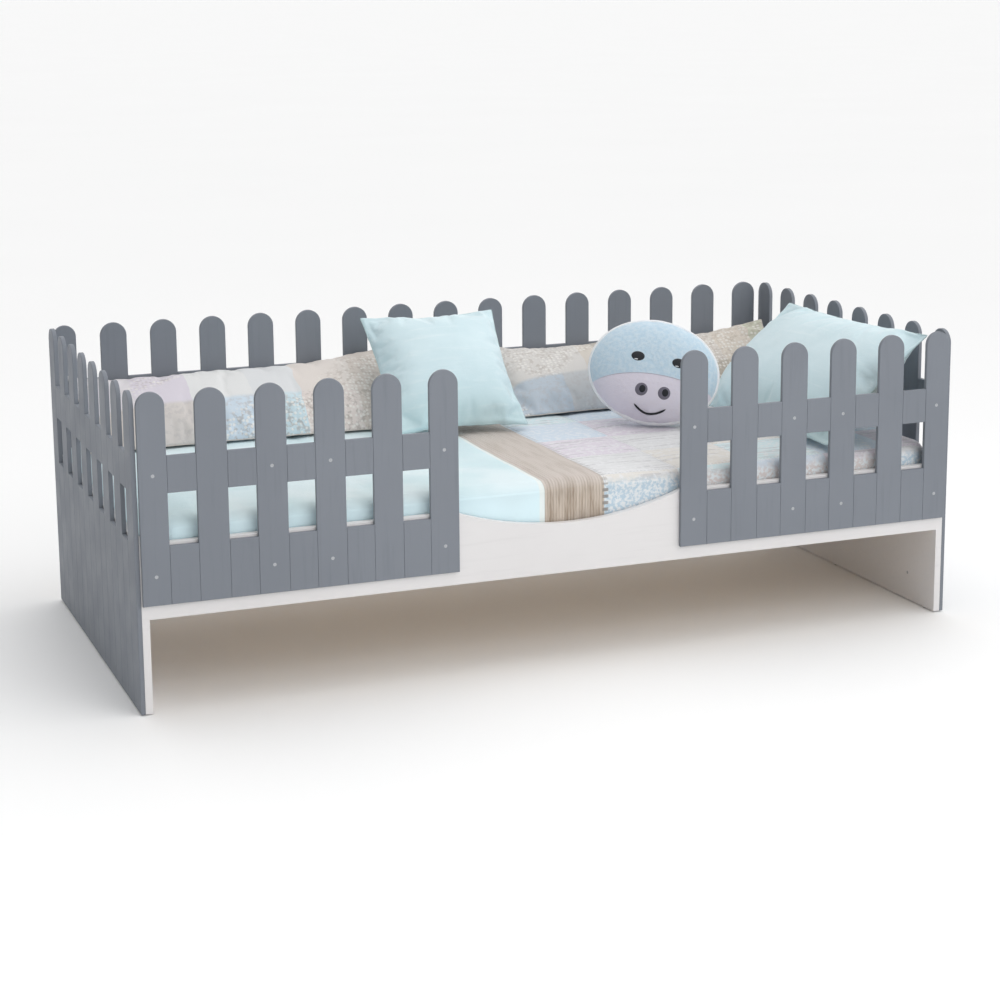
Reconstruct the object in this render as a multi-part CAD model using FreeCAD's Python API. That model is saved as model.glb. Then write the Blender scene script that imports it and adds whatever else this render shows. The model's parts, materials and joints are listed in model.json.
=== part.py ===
"""Toddler bed with picket-fence sides, for a 900 x 1900 mm mattress, with its bedding.

Millimetres, +Z up, origin on the floor under the middle of the bed.
X runs along the bed, the open front side faces -Y.
"""
import FreeCAD, Part
import math
import os

Vector = FreeCAD.Vector
Rotation = FreeCAD.Rotation
Placement = FreeCAD.Placement

# ---------------------------------------------------------------- driving dimensions
bed_length = 1960.0
bed_depth = 960.0
bed_height = 690.0

carcass_board = 16.0          # white panels and rails
fence_board = 10.0            # grey picket boards
glide_height = 3.0

box_top = 370.0               # top of the white panels and rails
rail_bottom = 207.0
fence_bottom = 238.0
window_bottom = 364.0
window_top = 476.0
cross_rail_top = 555.0

front_fence_length = 700.0
front_picket = 66.0
front_pitch = 128.0
front_pickets = 6
end_picket = 65.0
end_pitch = 125.0
end_pickets = 8
back_picket = 65.0
back_pitch = 124.7
back_pickets = 16
back_first_picket = 2.0       # the first back picket starts this far inside the bed's left face
fence_side_gap = 2.0          # between a front or back fence and the end fence beside it

edge_round = 1.5              # two neighbours' rounded edges make a groove twice this wide

entry_half_chord = 275.0
entry_sag = 49.0

slat_count = 14
slat_width = 70.0
slat_thickness = 18.0
slat_top = 270.0
slat_end_gap = 2.0
slat_margin = 16.0            # from an end panel to the first slat
slat_round = 3.0
ledge_width = 25.0
ledge_height = 40.0
tape_width = 20.0
tape_thickness = 1.0
tape_inset = 110.0

batten_thickness = 16.0
batten_height = 45.0
batten_bottom = 492.0
batten_inset = 10.0
batten_round = 2.0

fence_screw_length = 24.0
fence_screw_height = 300.0
screwed_front_pickets = (0, 2, 3, 5)
back_screw_count = 8
back_screw_margin = 105.0
end_screw_length = 23.0
end_screw_reach = 350.0
end_screw_heights = (70.0, 330.0)
rail_screw_heights = (235.0, 340.0)
rail_dowel_heights = (265.0, 310.0)
dowel_radius = 4.0
dowel_length = 30.0
dowel_depth_in_panel = 10.0
ledge_screw_count = 7
ledge_screw_margin = 60.0
ledge_screw_length = 36.0
slat_screw_length = 38.0
glide_radius = 7.0
glide_margin = 45.0
glide_nail_radius = 1.2
glide_nail_length = 12.0

mattress_length = 1894.0
mattress_depth = 890.0
mattress_height = 134.0
mattress_corner = 60.0
mattress_edge = 22.0
cover_thickness = 2.0
quilt_thickness = 12.0
quilt_skirt = 6.0
quilt_drop = 110.0
soft_gap = 0.4                # air left between pieces that only rest on each other

pillow_wall_gap = 1.0
pillow_end_round = 12.0
left_pillow_span = (-948.0, -112.0)
right_pillow_span = (140.0, 942.0)
# a back pillow's section: forward from the back fence, up from the quilt
pillow_section = [
    (262, 6), (235, 0), (22, 0), (0, 26), (0, 112), (30, 142), (92, 144), (175, 104), (250, 42),
]
square_cushion_size = (350.0, 350.0, 146.0)
square_cushion_centre = Vector(-54, 202, 557)
square_cushion_lean = 46.0
end_pillow_size = (600.0, 366.0, 132.0)
end_pillow_centre = Vector(788, -130, 551.5)
end_pillow_lean = 41.0
end_pillow_turn = -86.0
cushion_corner = 10.0
# a cushion's sections: (height as a share of its thickness, draw-in as a share of its width)
cushion_sections = [
    (-0.5, 0.30), (-0.42, 0.17), (-0.24, 0.05), (0.0, 0.0), (0.24, 0.05), (0.42, 0.17), (0.5, 0.30),
]
plush_size = (330.0, 266.0, 146.0)
plush_centre = Vector(437, 20, 547)
plush_lean = 69.0
plush_turn = -22.0
plush_roll = -11.0
# the plush's half profile: (share of its half width, share of its half thickness)
plush_profile = [(0, -1), (0.55, -0.86), (0.88, -0.48), (1, 0), (0.88, 0.48), (0.55, 0.86), (0, 1)]

# ---------------------------------------------------------------- places worked out from them
half_length = bed_length / 2
half_depth = bed_depth / 2
frame_front = -half_depth + fence_board
frame_back = half_depth - fence_board
panel_outer = half_length - fence_board
panel_inner = panel_outer - carcass_board
rail_inner = half_depth - fence_board - carcass_board
ledge_top = slat_top - slat_thickness
mattress_bottom = slat_top + tape_thickness + soft_gap
mattress_top = mattress_bottom + mattress_height
quilt_top = mattress_top + soft_gap + quilt_thickness


# ---------------------------------------------------------------- small helpers
def box(x0, x1, y0, y1, z0, z1):
    return Part.makeBox(x1 - x0, y1 - y0, z1 - z0, Vector(x0, y0, z0))


def cylinder(radius, start, direction, length):
    return Part.makeCylinder(radius, length, start, direction)


def save(name, shape):
    shape.exportStep("parts/%s.step" % name)


def group(shapes):
    return Part.makeCompound(shapes)


def evenly(count, first, last):
    step = (last - first) / (count - 1)
    return [first + step * i for i in range(count)]


def line(a, b):
    """Straight edge in the XZ plane between two (x, z) points."""
    return Part.makeLine(Vector(a[0], 0, a[1]), Vector(b[0], 0, b[1]))


def arc(a, through, b):
    points = [Vector(x, 0, z) for x, z in (a, through, b)]
    return Part.Arc(*points).toShape()


def rounded_rectangle(x0, x1, z0, z1, radius):
    """Closed wire in the XZ plane."""
    inset = radius * (1 - math.sqrt(0.5))
    edges = [
        line((x0 + radius, z0), (x1 - radius, z0)),
        arc((x1 - radius, z0), (x1 - inset, z0 + inset), (x1, z0 + radius)),
        line((x1, z0 + radius), (x1, z1 - radius)),
        arc((x1, z1 - radius), (x1 - inset, z1 - inset), (x1 - radius, z1)),
        line((x1 - radius, z1), (x0 + radius, z1)),
        arc((x0 + radius, z1), (x0 + inset, z1 - inset), (x0, z1 - radius)),
        line((x0, z1 - radius), (x0, z0 + radius)),
        arc((x0, z0 + radius), (x0 + inset, z0 + inset), (x0 + radius, z0)),
    ]
    return Part.Wire(edges)


# ---------------------------------------------------------------- picket fences
def plank(left, right, bottom, top, round_top=False):
    """Upright board in the XZ plane, outer face at Y = 0, with both faces' edges rounded."""
    edges = [line((left, bottom), (right, bottom))]
    if round_top:
        radius = (right - left) / 2
        shoulder = top - radius
        edges.append(line((right, bottom), (right, shoulder)))
        edges.append(arc((right, shoulder), (left + radius, top), (left, shoulder)))
        edges.append(line((left, shoulder), (left, bottom)))
    else:
        edges.append(line((right, bottom), (right, top)))
        edges.append(line((right, top), (left, top)))
        edges.append(line((left, top), (left, bottom)))
    board = Part.Face(Part.Wire(edges)).extrude(Vector(0, fence_board, 0))
    return board.makeFillet(edge_round, [e for e in board.Edges if is_face_edge(e)])


def is_face_edge(edge):
    """True for an edge that runs round the outer or inner face, not through the board."""
    ys = [v.Point.y for v in edge.Vertexes]
    return max(ys) - min(ys) < 0.01


def fence(start, end, pickets, bottom):
    """Pickets joined edge to edge with short boards above and below each window.

    pickets is a list of (left, right) pairs in order along X. The rounded edges of two
    neighbours meet as a groove, and each board is a plain convex solid of its own.
    """
    boards = [plank(left, right, bottom, bed_height, round_top=True) for left, right in pickets]
    for (_, left), (right, _) in zip(pickets, pickets[1:]):
        boards.append(plank(left, right, bottom, window_bottom))
        boards.append(plank(left, right, window_top, cross_rail_top))
    if pickets[0][0] > start:
        boards.append(plank(start, pickets[0][0], bottom, cross_rail_top))
    if pickets[-1][1] < end:
        boards.append(plank(pickets[-1][1], end, bottom, cross_rail_top))
    return group(boards)


def front_fence_pickets():
    """Left-hand front fence, counted from its outer end at X = 0, whose picket is cut short."""
    outer = front_fence_length - front_pitch * (front_pickets - 1)
    rights = [outer + front_pitch * i for i in range(front_pickets)]
    return [(0.0, outer)] + [(right - front_picket, right) for right in rights[1:]]


def row(count, first, pitch, width):
    return [(first + pitch * i, first + pitch * i + width) for i in range(count)]


def front_fences():
    left = fence(0, front_fence_length, front_fence_pickets(), fence_bottom)
    right = left.mirror(Vector(0, 0, 0), Vector(1, 0, 0))
    edge = panel_outer - fence_side_gap
    left.translate(Vector(-edge, -half_depth, 0))
    right.translate(Vector(edge, -half_depth, 0))
    return left, right


def end_fences():
    """Both stand on the floor and close the ends; their outer faces look away from the bed."""
    span = frame_back - frame_front
    pickets = row(end_pickets, 0, end_pitch, end_picket)
    board = fence(0, span, pickets, glide_height)
    left = board.copy()
    left.Placement = Placement(Vector(-half_length, frame_back, 0), Rotation(Vector(0, 0, 1), -90))
    right = board.copy()
    right.Placement = Placement(Vector(half_length, frame_front, 0), Rotation(Vector(0, 0, 1), 90))
    return left, right


def back_fence():
    """Drawn as seen from behind, so it is turned to face +Y."""
    span = 2 * (panel_outer - fence_side_gap)
    cut = fence_board + fence_side_gap - back_first_picket
    seen_from_front = row(back_pickets, -cut, back_pitch, back_picket)
    seen_from_front[0] = (0.0, seen_from_front[0][1])
    pickets = [(span - right, span - left) for left, right in reversed(seen_from_front)]
    board = fence(0, span, pickets, fence_bottom)
    board.Placement = Placement(Vector(span / 2, half_depth, 0), Rotation(Vector(0, 0, 1), 180))
    return board


# ---------------------------------------------------------------- white carcass
def end_panel(side):
    x0, x1 = sorted((side * panel_inner, side * panel_outer))
    return box(x0, x1, frame_front, frame_back, glide_height, box_top)


def front_rail():
    rail = box(-panel_inner, panel_inner, frame_front, -rail_inner, rail_bottom, box_top)
    overcut = 1.0
    radius = (entry_half_chord ** 2 + entry_sag ** 2) / (2 * entry_sag)
    centre = Vector(0, frame_front - overcut, box_top - entry_sag + radius)
    return rail.cut(cylinder(radius, centre, Vector(0, 1, 0), carcass_board + 2 * overcut))


def rear_rail():
    return box(-panel_inner, panel_inner, rail_inner, frame_back, rail_bottom, box_top)


# ---------------------------------------------------------------- slatted base
def ledge(side):
    y0, y1 = sorted((side * rail_inner, side * (rail_inner - ledge_width)))
    reach = panel_inner - slat_end_gap
    return box(-reach, reach, y0, y1, ledge_top - ledge_height, ledge_top)


def slat_places():
    first = -panel_inner + slat_margin + slat_width / 2
    return evenly(slat_count, first, -first)


def slat(x):
    reach = rail_inner - slat_end_gap
    plank = box(x - slat_width / 2, x + slat_width / 2, -reach, reach, ledge_top, slat_top)
    long_edges = [e for e in plank.Edges if abs(e.Length - 2 * reach) < 0.01]
    return plank.makeFillet(slat_round, long_edges)


def slat_tape(side):
    y = side * (rail_inner - tape_inset)
    reach = panel_inner - slat_margin
    return box(-reach, reach, y - tape_width / 2, y + tape_width / 2, slat_top, slat_top + tape_thickness)


def batten(side):
    """Stiffens a front fence behind its cross rail."""
    outer = panel_outer - fence_side_gap - batten_inset
    inner = panel_outer - fence_side_gap - front_fence_length + batten_inset
    x0, x1 = sorted((side * outer, side * inner))
    back = frame_front + batten_thickness
    strip = box(x0, x1, frame_front, back, batten_bottom, batten_bottom + batten_height)
    inner_rim = [e for e in strip.Edges if min(v.Point.y for v in e.Vertexes) > back - 0.01]
    return strip.makeFillet(batten_round, inner_rim)


# ---------------------------------------------------------------- fasteners
def wood_screw(head_at, direction, length):
    """Countersunk cross-head screw whose flat head face is centred on head_at."""
    shank = 2.0
    head = 3.8
    head_depth = 2.4
    tip_length = 4.0
    tip_radius = 0.3
    arm = 1.8
    arm_half_width = 0.45
    drive_depth = 1.4
    cone = Part.makeCone(head, shank, head_depth, head_at, direction)
    straight = length - head_depth - tip_length
    body = cylinder(shank, head_at + direction * head_depth, direction, straight)
    tip_at = head_at + direction * (length - tip_length)
    tip = Part.makeCone(shank, tip_radius, tip_length, tip_at, direction)
    along = box(-arm, arm, -arm_half_width, arm_half_width, 0, drive_depth)
    across = box(-arm_half_width, arm_half_width, -arm, arm, 0, drive_depth)
    drive = along.fuse(across)
    drive.Placement = Placement(head_at, Rotation(Vector(0, 0, 1), direction))
    return cone.fuse([body, tip]).cut(drive).removeSplitter()


def front_fence_screws(side):
    pairs = front_fence_pickets()
    screws = []
    for index in screwed_front_pickets:
        left, right = pairs[index]
        x = side * (panel_outer - fence_side_gap - (left + right) / 2)
        for z in (fence_screw_height, batten_bottom + batten_height / 2):
            head_at = Vector(x, -half_depth, z)
            screws.append(wood_screw(head_at, Vector(0, 1, 0), fence_screw_length))
    return screws


def back_fence_screws():
    reach = panel_outer - back_screw_margin
    heads = [Vector(x, half_depth, fence_screw_height) for x in evenly(back_screw_count, -reach, reach)]
    return [wood_screw(head_at, Vector(0, -1, 0), fence_screw_length) for head_at in heads]


def end_fence_screws(side):
    """Driven from inside the white panel, so none shows on the outer face."""
    screws = []
    for y in evenly(3, -end_screw_reach, end_screw_reach):
        for z in end_screw_heights:
            head_at = Vector(side * panel_inner, y, z)
            screws.append(wood_screw(head_at, Vector(side, 0, 0), end_screw_length))
    return screws


def rail_end_places(heights):
    """(side, y, z) of every fixing between an end panel and a rail's end."""
    rows = (frame_front + carcass_board / 2, frame_back - carcass_board / 2)
    return [(side, y, z) for side in (-1, 1) for y in rows for z in heights]


def rail_screws():
    """Stepped furniture screws through the end panels into the rails' ends."""
    head_radius, head_length = 4.8, 4.0
    neck_radius, neck_length = 3.4, 12.0
    thread_radius, thread_length = 2.5, 34.0
    socket_radius, socket_depth = 2.0, 2.5
    screws = []
    for side, y, z in rail_end_places(rail_screw_heights):
        head_at = Vector(side * panel_outer, y, z)
        inward = Vector(-side, 0, 0)
        neck_at = head_at + inward * head_length
        thread_at = neck_at + inward * neck_length
        head = cylinder(head_radius, head_at, inward, head_length)
        neck = cylinder(neck_radius, neck_at, inward, neck_length)
        thread = cylinder(thread_radius, thread_at, inward, thread_length)
        socket = cylinder(socket_radius, head_at, inward, socket_depth)
        screws.append(head.fuse([neck, thread]).cut(socket))
    return screws


def rail_dowels():
    dowels = []
    for side, y, z in rail_end_places(rail_dowel_heights):
        start = Vector(side * (panel_inner + dowel_depth_in_panel), y, z)
        dowels.append(cylinder(dowel_radius, start, Vector(-side, 0, 0), dowel_length))
    return dowels


def ledge_screws(side):
    y = side * (rail_inner - ledge_width)
    z = ledge_top - ledge_height / 2
    reach = panel_inner - ledge_screw_margin
    heads = [Vector(x, y, z) for x in evenly(ledge_screw_count, -reach, reach)]
    return [wood_screw(head_at, Vector(0, side, 0), ledge_screw_length) for head_at in heads]


def slat_screws():
    """The first and last slats are fixed; the rest are held by the tapes."""
    y = rail_inner - ledge_width / 2 - slat_end_gap
    ends = (slat_places()[0], slat_places()[-1])
    heads = [Vector(x, side * y, slat_top) for x in ends for side in (-1, 1)]
    return [wood_screw(head_at, Vector(0, 0, -1), slat_screw_length) for head_at in heads]


def glides():
    """Nail-on glides under the white end panels."""
    up = Vector(0, 0, 1)
    feet = []
    for side in (-1, 1):
        x = side * (panel_outer - carcass_board / 2)
        for y in evenly(3, frame_front + glide_margin, frame_back - glide_margin):
            disc = cylinder(glide_radius, Vector(x, y, 0), up, glide_height)
            nail = cylinder(glide_nail_radius, Vector(x, y, glide_height), up, glide_nail_length)
            feet.append(disc.fuse(nail))
    return feet


def drilled(shape, fixings):
    """The shape with a hole for each fixing, without the plugs left in the screws' recesses."""
    solids = []
    for solid in shape.Solids:
        through = [f for f in fixings if f.BoundBox.intersect(solid.BoundBox)]
        if through:
            solid = max(solid.cut(group(through)).Solids, key=lambda part: part.Volume)
        solids.append(solid)
    return solids[0] if len(solids) == 1 else group(solids)


# ---------------------------------------------------------------- bedding
def mattress_block(shrink):
    """Mattress outline with rounded corners and edges, shrunk on every side."""
    x = mattress_length / 2 - shrink
    y = mattress_depth / 2 - shrink
    block = box(-x, x, -y, y, mattress_bottom + shrink, mattress_top - shrink)
    uprights = [e for e in block.Edges if e.Length < mattress_height + 1]
    block = block.makeFillet(mattress_corner - shrink, uprights)
    rims = [e for e in block.Edges if abs(e.BoundBox.ZLength) < 0.01]
    return block.makeFillet(mattress_edge - shrink, rims)


def quilt():
    """Quilted spread: lies on the mattress and hangs down inside the rails on all sides."""
    x = mattress_length / 2 + soft_gap + quilt_skirt
    y = mattress_depth / 2 + soft_gap + quilt_skirt
    shell = box(-x, x, -y, y, quilt_top - quilt_drop, quilt_top)
    uprights = [e for e in shell.Edges if abs(e.Length - quilt_drop) < 0.01]
    shell = shell.makeFillet(mattress_corner + quilt_skirt, uprights)
    top_rim = [e for e in shell.Edges if e.BoundBox.ZMin > quilt_top - 0.01]
    shell = shell.makeFillet(mattress_edge + quilt_skirt, top_rim)
    return shell.cut(mattress_block(-soft_gap))


def crowned(size):
    """Cushion lying in XY, centred: a full outline at mid-height that closes in like a lens."""
    width, height, thickness = size
    sections = []
    for level, share in cushion_sections:
        draw_in = share * min(width, height)
        x = width / 2 - draw_in
        y = height / 2 - draw_in
        wire = rounded_rectangle(-x, x, -y, y, cushion_corner + 0.2 * draw_in)
        wire.Placement = Placement(Vector(0, 0, level * thickness), Rotation(Vector(1, 0, 0), -90))
        sections.append(wire)
    return Part.makeLoft(sections, True, False)


def oval(size):
    """Plump oval cushion lying in XY, centred."""
    width, height, thickness = size
    points = [Vector(share * width / 2, 0, rise * thickness / 2) for share, rise in plush_profile]
    curve = Part.BSplineCurve()
    curve.interpolate(points)
    axis = Part.makeLine(points[-1], points[0])
    profile = Part.Face(Part.Wire([curve.toShape(), axis]))
    disc = profile.revolve(Vector(0, 0, 0), Vector(0, 0, 1), 360)
    squeeze = FreeCAD.Matrix()
    squeeze.scale(1, height / width, 1)
    return disc.transformGeometry(squeeze)


def placed(shape, centre, lean, turn=0.0, roll=0.0):
    """Roll a flat-lying piece in its own plane, lean it up about X, turn it in plan and move it."""
    in_plane = Rotation(Vector(0, 0, 1), roll)
    tilt = Rotation(Vector(1, 0, 0), lean)
    plan = Rotation(Vector(0, 0, 1), turn)
    shape.Placement = Placement(centre, plan.multiply(tilt).multiply(in_plane))
    return shape


def back_pillow(span):
    """Long pillow slumped between the quilt and the back fence."""
    start, end = span
    floor = quilt_top + soft_gap
    wall = frame_back - pillow_wall_gap
    points = [Vector(start, wall - forward, floor + up) for forward, up in pillow_section]
    prism = Part.Face(Part.makePolygon(points + points[:1])).extrude(Vector(end - start, 0, 0))
    end_rims = [e for e in prism.Edges if e.BoundBox.XLength < 1]
    return prism.makeFillet(pillow_end_round, end_rims)


def soft_pieces():
    square = crowned(square_cushion_size)
    long_one = crowned(end_pillow_size)
    plush = oval(plush_size)
    return {
        "back_pillow_left": back_pillow(left_pillow_span),
        "back_pillow_right": back_pillow(right_pillow_span),
        "square_cushion": placed(square, square_cushion_centre, square_cushion_lean),
        "end_pillow": placed(long_one, end_pillow_centre, end_pillow_lean, end_pillow_turn),
        "round_plush": placed(plush, plush_centre, plush_lean, plush_turn, plush_roll),
    }


# ---------------------------------------------------------------- build and save
def build():
    os.makedirs("parts", exist_ok=True)

    screws = {
        "rail_screws": rail_screws(),
        "rail_dowels": rail_dowels(),
        "front_left_fence_screws": front_fence_screws(-1),
        "front_right_fence_screws": front_fence_screws(1),
        "back_fence_screws": back_fence_screws(),
        "left_end_fence_screws": end_fence_screws(-1),
        "right_end_fence_screws": end_fence_screws(1),
        "front_ledge_screws": ledge_screws(-1),
        "rear_ledge_screws": ledge_screws(1),
        "slat_screws": slat_screws(),
        "glides": glides(),
    }

    boards = {}
    boards["front_left_fence"], boards["front_right_fence"] = front_fences()
    boards["left_end_fence"], boards["right_end_fence"] = end_fences()
    boards["back_fence"] = back_fence()
    boards["left_end_panel"] = end_panel(-1)
    boards["right_end_panel"] = end_panel(1)
    boards["front_rail"] = front_rail()
    boards["rear_rail"] = rear_rail()
    boards["front_left_batten"] = batten(-1)
    boards["front_right_batten"] = batten(1)
    boards["front_ledge"] = ledge(-1)
    boards["rear_ledge"] = ledge(1)
    boards["slat_tape_front"] = slat_tape(-1)
    boards["slat_tape_rear"] = slat_tape(1)
    for number, x in enumerate(slat_places(), 1):
        boards["slat_%02d" % number] = slat(x)

    fixings = [piece for pieces in screws.values() for piece in pieces]
    for name, shape in boards.items():
        save(name, drilled(shape, fixings))
    for name, pieces in screws.items():
        save(name, group(pieces))

    save("mattress_core", mattress_block(cover_thickness))
    save("mattress_cover", mattress_block(0).cut(mattress_block(cover_thickness)))
    save("quilt", quilt())
    for name, shape in soft_pieces().items():
        save(name, shape)


build()
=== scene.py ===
"""Looks for a toddler bed with picket-fence sides: bedding, materials, floor, light and camera.

Metres, +Z up, origin on the floor under the middle of the bed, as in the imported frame.
"""
import json
import math
from collections import namedtuple

import bpy
import numpy as np
from mathutils import Matrix, Vector, noise
from mathutils.bvhtree import BVHTree


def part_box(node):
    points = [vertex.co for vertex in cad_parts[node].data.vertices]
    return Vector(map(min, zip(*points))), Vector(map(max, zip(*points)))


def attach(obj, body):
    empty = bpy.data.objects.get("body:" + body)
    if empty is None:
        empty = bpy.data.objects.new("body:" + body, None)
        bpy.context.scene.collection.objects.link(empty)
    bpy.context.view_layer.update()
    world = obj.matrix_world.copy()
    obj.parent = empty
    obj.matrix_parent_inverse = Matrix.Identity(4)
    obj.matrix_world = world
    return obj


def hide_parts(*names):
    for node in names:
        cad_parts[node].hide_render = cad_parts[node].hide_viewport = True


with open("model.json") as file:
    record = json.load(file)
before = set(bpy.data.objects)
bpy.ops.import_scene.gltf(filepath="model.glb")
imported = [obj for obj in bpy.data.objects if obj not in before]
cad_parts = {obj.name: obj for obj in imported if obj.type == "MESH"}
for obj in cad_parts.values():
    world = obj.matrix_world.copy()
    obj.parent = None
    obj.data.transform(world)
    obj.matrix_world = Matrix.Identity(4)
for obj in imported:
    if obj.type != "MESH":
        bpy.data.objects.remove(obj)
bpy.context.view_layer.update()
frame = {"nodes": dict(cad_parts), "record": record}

MM = 0.001
TINY = 1e-9

RIPPLE_SHIFTS = (17.3, -5.1, 9.7)
TIP_POINTS = 2.5
TIP_SHARE = 0.05


# ---------------------------------------------------------------- mesh helpers
def new_piece(name, verts, faces, material, smooth=True):
    mesh = bpy.data.meshes.new(name)
    mesh.from_pydata([tuple(v) for v in verts], [], faces)
    mesh.validate()
    mesh.update()
    mesh.materials.append(material)
    mesh.polygons.foreach_set("use_smooth", [smooth] * len(mesh.polygons))
    piece = bpy.data.objects.new(name, mesh)
    bpy.context.scene.collection.objects.link(piece)
    return piece


def coords(piece):
    co = np.empty(len(piece.data.vertices) * 3)
    piece.data.vertices.foreach_get("co", co)
    return co.reshape(-1, 3)


def set_coords(piece, co):
    piece.data.vertices.foreach_set("co", co.astype(np.float32).ravel())
    piece.data.update()


def bake_modifiers(piece):
    """Replaces the piece's mesh with what its modifiers make of it."""
    bpy.context.view_layer.update()
    evaluated = piece.evaluated_get(bpy.context.evaluated_depsgraph_get())
    made = bpy.data.meshes.new_from_object(evaluated)
    piece.modifiers.clear()
    old = piece.data
    name = old.name
    piece.data = made
    bpy.data.meshes.remove(old)
    made.name = name


def subdivide(piece, levels=1):
    modifier = piece.modifiers.new("Subdivision", "SUBSURF")
    modifier.levels = levels
    modifier.render_levels = levels
    bake_modifiers(piece)


def tube(name, points, radius, material, closed=True, sides=8):
    """Round cord along points; an open one tapers at both ends."""
    points = [Vector(p) for p in points]
    count = len(points)
    verts, faces = [], []
    side = None
    for i, p in enumerate(points):
        if closed:
            ahead = points[(i + 1) % count] - points[i - 1]
        else:
            ahead = points[min(i + 1, count - 1)] - points[max(i - 1, 0)]
        ahead.normalize()
        if side is None:
            side = ahead.orthogonal().normalized()
        side = (side - ahead * side.dot(ahead)).normalized()
        other = ahead.cross(side)
        size = radius
        if not closed:
            from_end = min(i, count - 1 - i) / TIP_POINTS
            size = radius * min(1.0, math.sqrt(from_end) + TIP_SHARE)
        for k in range(sides):
            turn = 2 * math.pi * k / sides
            verts.append(p + side * (size * math.cos(turn)) + other * (size * math.sin(turn)))
    rings = count if closed else count - 1
    for i in range(rings):
        for k in range(sides):
            a = i * sides + k
            b = i * sides + (k + 1) % sides
            c = ((i + 1) % count) * sides + (k + 1) % sides
            d = ((i + 1) % count) * sides + k
            faces.append((a, b, c, d))
    if not closed:
        faces.append(tuple(reversed(range(sides))))
        faces.append(tuple(range((count - 1) * sides, count * sides)))
    return new_piece(name, verts, faces, material)


def soft_floor(values, level, softness):
    """Values that would fall below level settle just above it instead."""
    return level + softness * np.logaddexp(0, (values - level) / softness)


def ripple(x, y, z, size, seed):
    """Smooth noise from -1 to 1 with features of about size metres; each seed gives other noise."""
    return noise.noise(Vector([
        at / size + seed * shift for at, shift in zip((x, y, z), RIPPLE_SHIFTS)]))


# ---------------------------------------------------------------- material helpers
def srgb(red, green, blue):
    """Linear colour from 0 to 255 display values."""
    def one(value):
        value /= 255
        return value / 12.92 if value <= 0.04045 else ((value + 0.055) / 1.055) ** 2.4
    return (one(red), one(green), one(blue), 1.0)


SHEEN_ROUGHNESS = 0.5
BUMP_STRENGTH = 0.8
BANDS_PER_TURN = 20


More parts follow.
